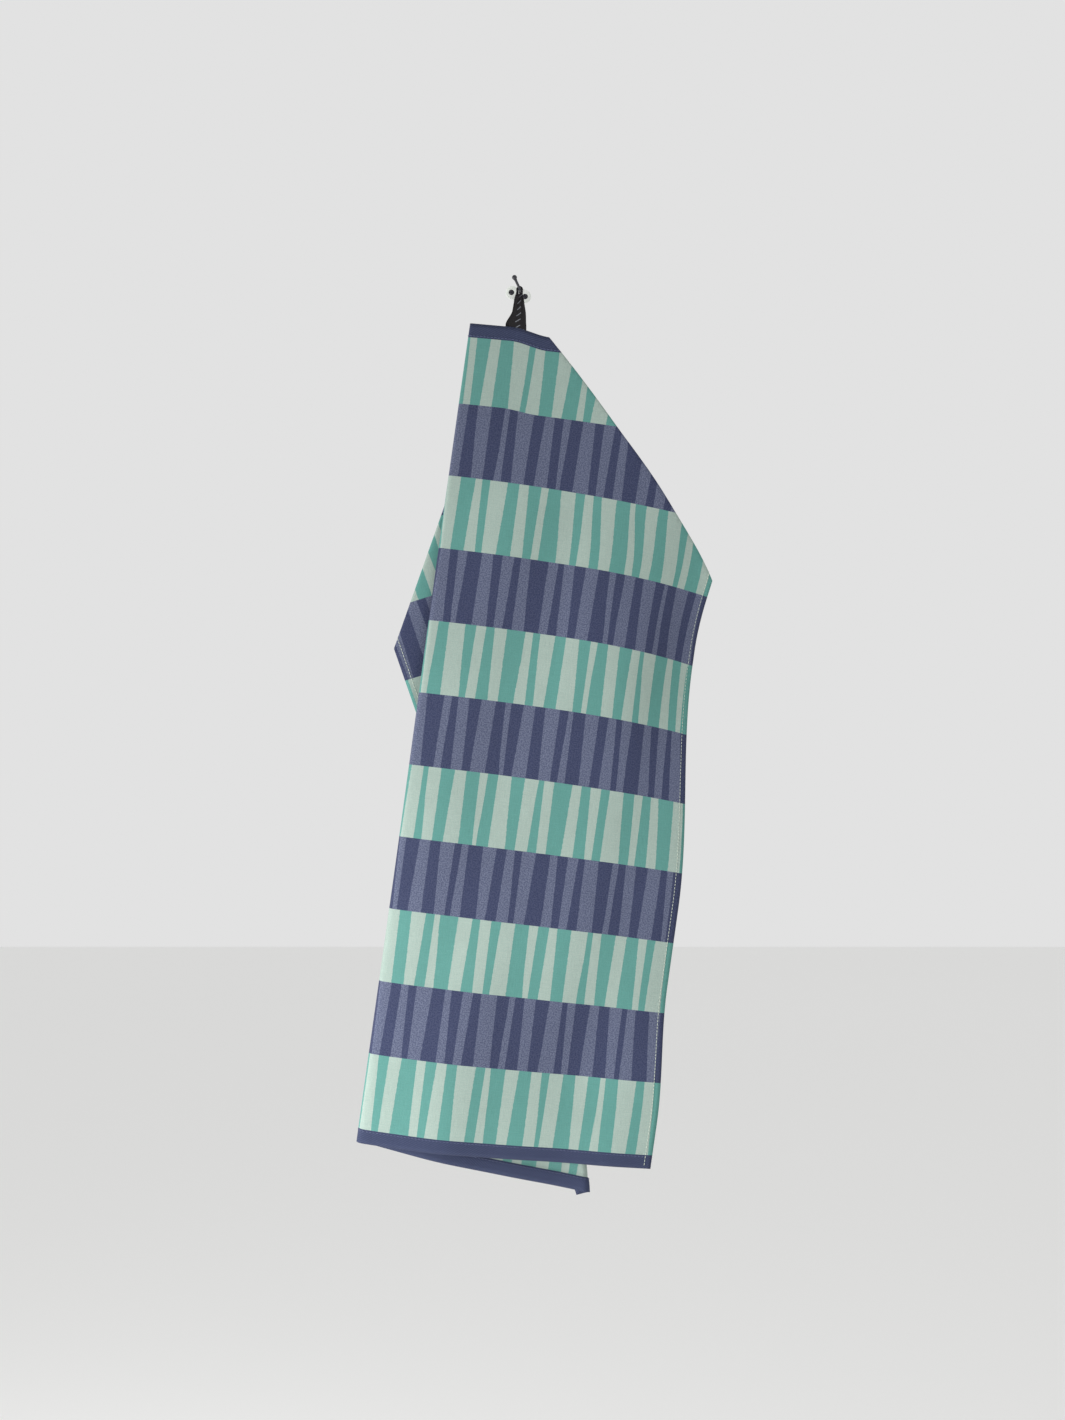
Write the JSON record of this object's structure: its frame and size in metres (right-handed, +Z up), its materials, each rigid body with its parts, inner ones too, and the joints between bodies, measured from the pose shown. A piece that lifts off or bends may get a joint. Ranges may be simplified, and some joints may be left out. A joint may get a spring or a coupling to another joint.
{
  "type": "kitchen towel on a wall hook",
  "caption": "Woven kitchen towel folded lengthwise, hung by a tape loop on a small screwed wall hook with a ball tip.",
  "frame": {"origin": "centre of the hook plate's back face, which lies on the wall", "axes": "+Z up, +Y into the wall, +X to the right for a person facing the wall; the towel hangs on the -Y side"},
  "size_m": [0.3198, 0.0366, 0.7841],
  "materials": {
    "cloth": "matt jacquard weave in teal, beige and navy",
    "hem": "matt navy twill",
    "thread": "spun sewing thread",
    "tape": "matt woven tape",
    "black_metal": "satin black",
    "pale_metal": "satin off-white"
  },
  "bodies": {
    "hook": {"hook_plate": "pale_metal", "left_screw": "black_metal", "right_screw": "black_metal", "hook_arm": "black_metal", "ball_tip": "black_metal"},
    "loop": {"hanging_loop": "tape"},
    "towel": {"top_hem": "hem", "front_fall": "cloth", "front_corner_flap": "cloth", "inner_fall": "cloth", "rear_fall": "cloth", "rear_corner_flap": "cloth", "front_bottom_hem": "hem", "inner_bottom_hem": "hem"}
  },
  "joints": [
    {"name": "loop_swing", "type": "hinge", "parent": "hook", "child": "loop", "pos_m": [0.0012, -0.0114, 0.0022], "axis": [0, -1, 0], "range_deg": [-15, 15]},
    {"name": "towel_lift", "type": "hinge", "parent": "loop", "child": "towel", "pos_m": [-0.00189, -0.0114, -0.0353], "axis": [-0.9945, 0, 0.1045], "range_deg": [0, 60]}
  ]
}
